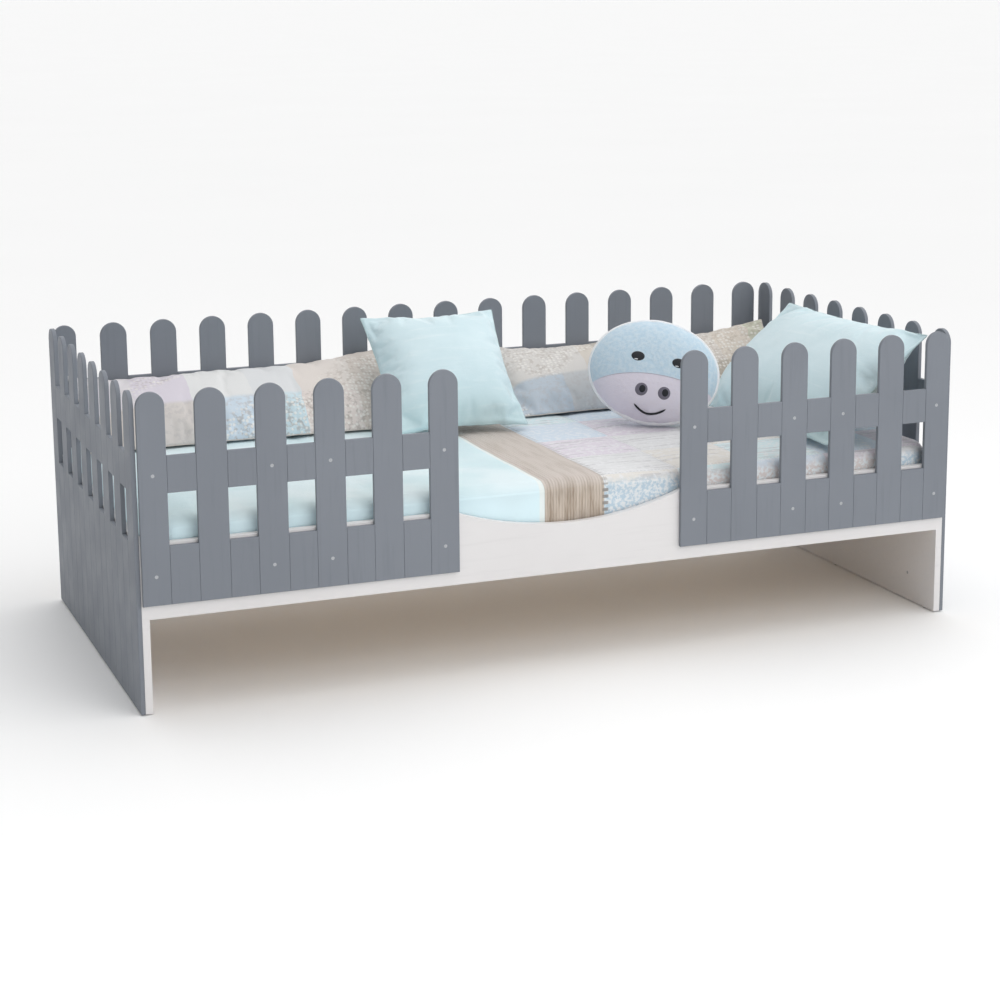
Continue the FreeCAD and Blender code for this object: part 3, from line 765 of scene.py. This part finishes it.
def quilt():
    low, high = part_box("quilt")
    edge = QUILT_EDGE
    half_x = high.x - edge
    half_y = high.y - edge
    drop = high.z - low.z
    skirt = [(edge, edge + (drop - edge) * k / 8) for k in range(1, 9)]
    rings = quarter_turn(edge, 6) + skirt
    verts, faces, hem = block_mesh(half_x, half_y, CORNER_RADIUS, high.z, rings, QUILT_CELL)
    for v in verts:
        below = high.z - v.z
        puff = PUFF_RISE * (1 - math.exp(-seam_distance(v.x, v.y) / PUFF_REACH))
        slow = 2.5 * MM * ripple(v.x, v.y, 0, 0.21, 1) + 1.2 * MM * ripple(v.x, v.y, 0, 0.06, 2)
        top_share = max(0.0, 1 - below / edge)
        v.z += top_share * min(PROUD, puff - SETTLE + slow)
        if below > 0.5 * edge:
            hang = min(1.0, (below - 0.5 * edge) / drop)
            run = v.x + v.y
            fold = 0.5 + 0.5 * ripple(run, 0, below * 0.3, 0.07, 3)
            inward = FOLD_DEPTH * hang * fold
            v.x -= math.copysign(inward, v.x) if abs(v.x) > half_x else 0.0
            v.y -= math.copysign(inward, v.y) if abs(v.y) > half_y else 0.0
    piece = new_piece("quilt_spread", verts, faces, QUILT)
    solid = piece.modifiers.new("Thickness", "SOLIDIFY")
    solid.thickness = QUILT_THICKNESS
    solid.offset = -1.0
    bake_modifiers(piece)
    piece.data.polygons.foreach_set("use_smooth", [True] * len(piece.data.polygons))
    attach(piece, "quilt")
    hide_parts("quilt")
    hem_path = [verts[k] + Vector((0, 0, 1.0 * MM)) for k in hem]
    hem_cord = tube("quilt_hem", hem_path, HEM_RADIUS, WHITE_THREAD, sides=6)
    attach(hem_cord, "quilt")


# ---------------------------------------------------------------- stuffed pieces
CROWN_POWER = 0.55
OVAL_FLATNESS = 2.4
OVAL_CROWN = 0.6
SOFTNESS = 4 * MM
CLOTH_FRAMES = 20
SEAM_RADIUS = 1.6 * MM
RIM_RADIUS = 6.5 * MM


def pillow_mesh(width, height, front, back, cells_x, cells_y, pull):
    """Two crowned panels sewn together round their edge, lying in XY with the front panel up.

    pull is how far the sides draw in between the corners, as a share of the half size.
    """
    verts, faces = [], []
    index = {}
    for panel, crown in ((0, front), (1, -back)):
        for i in range(cells_x + 1):
            for j in range(cells_y + 1):
                u = 2 * i / cells_x - 1
                v = 2 * j / cells_y - 1
                on_rim = i in (0, cells_x) or j in (0, cells_y)
                if panel and on_rim:
                    index[panel, i, j] = index[0, i, j]
                    continue
                x = width / 2 * u * (1 - pull * (1 - v * v) * u * u)
                y = height / 2 * v * (1 - pull * (1 - u * u) * v * v)
                swell = ((1 - u * u) * (1 - v * v)) ** CROWN_POWER
                index[panel, i, j] = len(verts)
                verts.append(Vector((x, y, crown * swell)))
    for i in range(cells_x):
        for j in range(cells_y):
            corners = ((i, j), (i + 1, j), (i + 1, j + 1), (i, j + 1))
            faces.append(tuple(index[0, a, b] for a, b in corners))
            faces.append(tuple(index[1, a, b] for a, b in reversed(corners)))
    rim = [(i, 0) for i in range(cells_x)] + [(cells_x, j) for j in range(cells_y)]
    rim += [(i, cells_y) for i in range(cells_x, 0, -1)] + [(0, j) for j in range(cells_y, 0, -1)]
    return verts, faces, [index[0, i, j] for i, j in rim]


def oval_mesh(width, height, thickness, segments, rings):
    """Two crowned oval panels sewn together round their edge, lying in XY."""
    verts, faces = [], []
    loops = {0: [], 1: []}
    for panel, side in ((0, 1), (1, -1)):
        for r in range(1, rings + 1):
            share = math.sin(math.pi / 2 * r / rings)
            rise = side * thickness / 2 * (1 - share ** OVAL_FLATNESS) ** OVAL_CROWN
            if panel and r == rings:
                loops[panel].append(loops[0][-1])
                continue
            loop = []
            for k in range(segments):
                turn = 2 * math.pi * k / segments
                loop.append(len(verts))
                x = width / 2 * share * math.cos(turn)
                y = height / 2 * share * math.sin(turn)
                verts.append(Vector((x, y, rise)))
            loops[panel].append(loop)
        middle = len(verts)
        verts.append(Vector((0, 0, side * thickness / 2)))
        first = loops[panel][0]
        for k in range(segments):
            after = (k + 1) % segments
            ring = (middle, first[k], first[after])
            faces.append(ring if side > 0 else ring[::-1])
            for inner, outer in zip(loops[panel], loops[panel][1:]):
                quad = (inner[k], outer[k], outer[after], inner[after])
                faces.append(quad if side > 0 else quad[::-1])
    return verts, faces, loops[0][-1]


def inflate(jobs):
    """Blows up closed pieces as cloth held along their seams, and keeps the result.

    jobs are (piece, seam, slack, cap): slack is spare cloth as a share, cap the furthest that a
    point may move.
    """
    scene = bpy.context.scene
    scene.frame_start = 1
    scene.frame_end = CLOTH_FRAMES
    rest = {}
    for piece, seam, slack, _ in jobs:
        rest[piece.name] = coords(piece)
        held = piece.vertex_groups.new(name="held")
        held.add(seam, 1.0, "REPLACE")
        cloth = piece.modifiers.new("Cloth", "CLOTH")
        settings = cloth.settings
        settings.quality = 6
        settings.mass = 0.15
        settings.use_pressure = True
        settings.uniform_pressure_force = 4.0
        settings.shrink_min = -slack
        settings.vertex_group_mass = "held"
        settings.effector_weights.gravity = 0.0
        settings.tension_stiffness = 12.0
        settings.compression_stiffness = 12.0
        settings.shear_stiffness = 5.0
        settings.bending_stiffness = 0.35
        cloth.collision_settings.use_collision = False
        cloth.collision_settings.use_self_collision = False
        cloth.point_cache.frame_start = 1
        cloth.point_cache.frame_end = CLOTH_FRAMES
    for number in range(1, CLOTH_FRAMES + 1):
        scene.frame_set(number)
    for piece, _, _, cap in jobs:
        bake_modifiers(piece)
        moved = coords(piece) - rest[piece.name]
        far = np.linalg.norm(moved, axis=1)
        keep = np.where(far > TINY, cap * np.tanh(far / cap) / np.maximum(far, TINY), 0.0)
        set_coords(piece, rest[piece.name] + moved * keep[:, None])
        piece.vertex_groups.clear()
    scene.frame_set(1)


def place_piece(piece, place, floor, wall_y, ends):
    """Stands the piece in place and flattens it where it meets the quilt or the back fence.

    ends, for a long pillow, are what raise_ends takes; wall_y and ends may be None.
    """
    co = coords(piece)
    matrix = np.array(place)
    world = co @ matrix[:3, :3].T + matrix[:3, 3]
    if ends:
        raise_ends(world, co, *ends)
    world[:, 2] = soft_floor(world[:, 2], floor, SOFTNESS)
    if wall_y is not None:
        world[:, 1] = -soft_floor(-world[:, 1], -wall_y, SOFTNESS)
    set_coords(piece, world)


UPPER_RAMP = 0.14
UPPER_START = 0.35
RAMP_POWER = 1.6


def raise_ends(world, co, half, left_end, right_end):
    """Lifts a long pillow's upper corners; an end is (ramp's length, rise, shift forward)."""
    up = np.clip(co[:, 1] / UPPER_RAMP + UPPER_START, 0, 1)
    for side, (ramp, rise, forward) in ((-1, left_end), (1, right_end)):
        out = np.clip((side * co[:, 0] - half + ramp) / ramp, 0, 1) ** RAMP_POWER * up
        world[:, 2] += rise * out
        world[:, 1] -= forward * out


def seam_cord(name, piece, seam, radius, material, body):
    """Piping along a piece's seam, whose vertices keep their numbers when it is subdivided."""
    cord = tube(name, [piece.data.vertices[k].co for k in seam], radius, material, sides=6)
    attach(cord, body)


mattress()
quilt()

# cord is the seam cord's material, slack the spare cloth as a share, cap the most it may swell
Build = namedtuple("Build", "name node mesh material cord slot fill slack cap")
BUILDS = [
    Build("square_cushion_cover", "square_cushion",
          pillow_mesh(0.356, 0.356, 0.056, 0.056, 52, 52, 0.07),
          SATIN, AQUA_THREAD, "aqua_satin", 0.75, 0.05, 14 * MM),
    Build("end_pillow_cover", "end_pillow",
          pillow_mesh(0.602, 0.372, 0.052, 0.052, 84, 52, 0.05),
          SATIN_LONG, AQUA_THREAD, "aqua_satin", 0.6, 0.05, 14 * MM),
    Build("back_pillow_left_cover", "back_pillow_left",
          pillow_mesh(length_of("back_pillow_left"), 0.290, 0.046, 0.066, 104, 38, 0.05),
          PILLOW_LEFT, SAND_THREAD, "back_pillow_left_cotton", 0.6, 0.04, 12 * MM),
    Build("back_pillow_right_cover", "back_pillow_right",
          pillow_mesh(length_of("back_pillow_right"), 0.290, 0.046, 0.066, 100, 38, 0.05),
          PILLOW_RIGHT, SAND_THREAD, "back_pillow_right_knit", 0.6, 0.04, 12 * MM),
    Build("round_plush_body", "round_plush", oval_mesh(0.316, 0.254, 0.128, 96, 22),
          PLUSH, None, "plush_fleece", 0.8, 0.03, 8 * MM),
]
# long pillows: half the length, then for each end the ramp's length, the rise and the shift forward
PILLOW_ENDS = {
    "back_pillow_left": (
        length_of("back_pillow_left") / 2, (0.12, 0.018, 0.0), (0.36, 0.034, 0.0)),
    "back_pillow_right": (
        length_of("back_pillow_right") / 2, (0.20, 0.014, 0.0), (0.26, 0.048, 0.075)),
}
CLEARANCE = 0.6 * MM
floor_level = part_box("quilt")[1].z + CLEARANCE
wall_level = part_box("back_pillow_left")[1].y

CRUMPLE = 1.5 * MM
CRUMPLE_SIZE = 0.05
SEAM_FLAT = 2 * MM

made = {}
for number, build in enumerate(BUILDS):
    verts, faces, _ = build.mesh
    for v in verts:
        if abs(v.z) > SEAM_FLAT:
            crumple = ripple(v.x, v.y, v.z, CRUMPLE_SIZE, number + 5)
            v.z += math.copysign(CRUMPLE, v.z) * crumple
    made[build.node] = new_piece(build.name, verts, faces, build.material)

inflate([(made[build.node], build.mesh[2], build.slack, build.cap) for build in BUILDS])

for build in BUILDS:
    node = build.node
    piece = made[node]
    subdivide(piece)
    against_fence = wall_level if node in PILLOW_ENDS else None
    place_piece(piece, PLACES[node], floor_level, against_fence, PILLOW_ENDS.get(node))
    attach(piece, node)
    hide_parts(node)
    if build.cord:
        seam_cord(node + "_seam", piece, build.mesh[2], SEAM_RADIUS, build.cord, node)
plush = made["round_plush"]
plush_seam = BUILDS[-1].mesh[2]
seam_cord("round_plush_rim", plush, plush_seam, RIM_RADIUS, RIM, "round_plush")


# ---------------------------------------------------------------- the plush's face
plush_place = PLACES["round_plush"]
plush_inverse = plush_place.inverted()
face_tree = BVHTree.FromPolygons(
    [plush_inverse @ v.co for v in plush.data.vertices],
    [tuple(p.vertices) for p in plush.data.polygons])


def on_face(x, y, above):
    """Point over the plush's front at (x, y) of its own plane."""
    hit = face_tree.ray_cast(Vector((x, y, 0.3)), Vector((0, 0, -1)))
    return plush_place @ Vector((x, y, hit[0].z + above))


def on_plush(piece):
    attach(piece, "round_plush")


def face_patch(name, x, y, half_width, half_height, material, rise, segments=28, rings=5):
    """Padded oval patch that follows the plush's surface."""
    verts = [on_face(x, y, rise)]
    faces = []
    for r in range(1, rings + 2):
        share = min(1.0, r / rings)
        above = rise * (1 - share ** 3) if r <= rings else -1.5 * MM
        for k in range(segments):
            turn = 2 * math.pi * k / segments
            across = half_width * share * math.cos(turn)
            along = half_height * share * math.sin(turn)
            verts.append(on_face(x + across, y + along, above))
    for k in range(segments):
        after = (k + 1) % segments
        faces.append((0, 1 + k, 1 + after))
        for r in range(rings):
            inner = 1 + r * segments
            outer = inner + segments
            faces.append((inner + k, outer + k, outer + after, inner + after))
    last = 1 + rings * segments
    faces.append(tuple(last + k for k in reversed(range(segments))))
    on_plush(new_piece(name, verts, faces, material))


def face_line(name, points, radius, material):
    path = [on_face(x, y, radius * 0.4) for x, y in points]
    on_plush(tube(name, path, radius, material, closed=False))


FACE_X = 0.004
FACE_Y = -0.022
EYE_APART = 0.051
EYE_UP = 0.044
NOSTRIL_APART = 0.0285
NOSTRIL_DOWN = 0.036
SMILE_HALF = 0.040
SMILE_DOWN = 0.072
SMILE_DEPTH = 0.017

for name, side in (("left", -1), ("right", 1)):
    eye_x = FACE_X + side * EYE_APART
    eye_y = FACE_Y + EYE_UP
    nostril_x = FACE_X + side * NOSTRIL_APART
    nostril_y = FACE_Y - NOSTRIL_DOWN
    face_patch("plush_eye_" + name, eye_x, eye_y, 0.0165, 0.0120, BLACK_THREAD, 2.2 * MM)
    face_patch("plush_glint_" + name, eye_x - 0.003, eye_y - 0.0085, 0.0060, 0.0018,
               WHITE_THREAD, 3.0 * MM, 16, 2)
    face_patch("plush_nostril_" + name, nostril_x, nostril_y, 0.0155, 0.0155, GREY_FELT, 1.4 * MM)
    face_patch("plush_nostril_dark_" + name, nostril_x + 0.002, nostril_y + 0.001, 0.0095, 0.0110,
               BLACK_THREAD, 2.6 * MM)

smile = [(FACE_X + SMILE_HALF * t, FACE_Y - SMILE_DOWN - SMILE_DEPTH * (1 - t * t))
         for t in [k / 12 - 1 for k in range(25)]]
face_line("plush_smile", smile, 2.8 * MM, BLACK_THREAD)

# the part of the muzzle's outline that lies on the front, within an oval a little inside the rim
FRONT_HALF_WIDTH = 0.152
FRONT_HALF_HEIGHT = 0.122
muzzle_turns = [math.radians(14 + 152 * k / 48) for k in range(49)]
muzzle = [(MUZZLE_X + MUZZLE_HALF_WIDTH * math.cos(t), MUZZLE_Y + MUZZLE_HALF_HEIGHT * math.sin(t))
          for t in muzzle_turns]
on_front = [(x, y) for x, y in muzzle
            if (x / FRONT_HALF_WIDTH) ** 2 + (y / FRONT_HALF_HEIGHT) ** 2 < 1]
face_line("plush_muzzle_seam", on_front, 0.7 * MM, LILAC_THREAD)


# ---------------------------------------------------------------- floor, light, camera
FLOOR_REACH = 400.0
LIGHT_TARGET = (0, 0, 0.4)
EYE_PLACE = (-1.8330, -4.7253, 1.4996)
YAW, PITCH, ROLL = 0.373134, 0.191868, -0.008136
LENS = 76.988
SHIFT_Y = -0.1
BRIGHT_SIDE = (0.70, 0.35, 0.15)
SKY_SPAN = {"From Min": -0.75, "From Max": 0.30, "To Min": 0.18, "To Max": 1.20}


def stage_floor():
    s = Surface("studio_floor", roughness=0.7)
    clouds = s.noise(0.6, 2)
    tint = s.mix(clouds, srgb(251, 251, 251), srgb(254, 254, 254))
    material = s.finish(tint, s.noise(60, 2), 0.05 * MM)
    reach = FLOOR_REACH
    verts = [(-reach, -reach, 0), (reach, -reach, 0), (reach, reach, 0), (-reach, reach, 0)]
    new_piece("studio_floor", verts, [(0, 1, 2, 3)], material, smooth=False)


def area_light(name, place, size, power):
    data = bpy.data.lights.new(name, "AREA")
    data.shape = "RECTANGLE"
    data.size, data.size_y = size
    data.energy = power
    light = bpy.data.objects.new(name, data)
    light.location = place
    aim = Vector(LIGHT_TARGET) - Vector(place)
    light.rotation_euler = aim.to_track_quat("-Z", "Y").to_euler()
    bpy.context.scene.collection.objects.link(light)


def camera():
    """Standing eye height, in front of the left end, looking along the bed and slightly down."""
    flat = math.cos(PITCH)
    ahead = Vector((math.sin(YAW) * flat, math.cos(YAW) * flat, -math.sin(PITCH)))
    right = Vector((math.cos(YAW), -math.sin(YAW), 0))
    up = right.cross(ahead)
    x_axis = right * math.cos(ROLL) + up * math.sin(ROLL)
    y_axis = up * math.cos(ROLL) - right * math.sin(ROLL)
    data = bpy.data.cameras.new("camera")
    data.sensor_width = 36.0
    data.lens = LENS
    data.shift_y = SHIFT_Y
    data.clip_end = 1000.0
    eye = bpy.data.objects.new("camera", data)
    turn = Matrix((x_axis, y_axis, -ahead)).transposed()
    eye.matrix_world = Matrix.Translation(EYE_PLACE) @ turn.to_4x4()
    bpy.context.scene.collection.objects.link(eye)
    bpy.context.scene.camera = eye


def surroundings():
    """White studio all round, dimmer to the left of the bed and in front of it."""
    world = bpy.data.worlds.new("studio")
    world.use_nodes = True
    tree = world.node_tree
    background = tree.nodes["Background"]
    place = tree.nodes.new("ShaderNodeTexCoord")
    weigh = tree.nodes.new("ShaderNodeVectorMath")
    weigh.operation = "DOT_PRODUCT"
    weigh.inputs[1].default_value = BRIGHT_SIDE
    tree.links.new(place.outputs["Generated"], weigh.inputs[0])
    level = tree.nodes.new("ShaderNodeMapRange")
    level.interpolation_type = "SMOOTHSTEP"
    for name, value in SKY_SPAN.items():
        level.inputs[name].default_value = value
    tree.links.new(weigh.outputs["Value"], level.inputs["Value"])
    background.inputs["Color"].default_value = (1.0, 1.0, 1.0, 1.0)
    tree.links.new(level.outputs[0], background.inputs["Strength"])
    bpy.context.scene.world = world


stage_floor()
surroundings()
area_light("key", (0.6, -3.2, 2.2), (2.8, 1.6), 22.0)
area_light("top", (0.2, -0.4, 3.0), (2.6, 2.0), 10.0)
camera()
bpy.context.scene.view_settings.view_transform = "Standard"
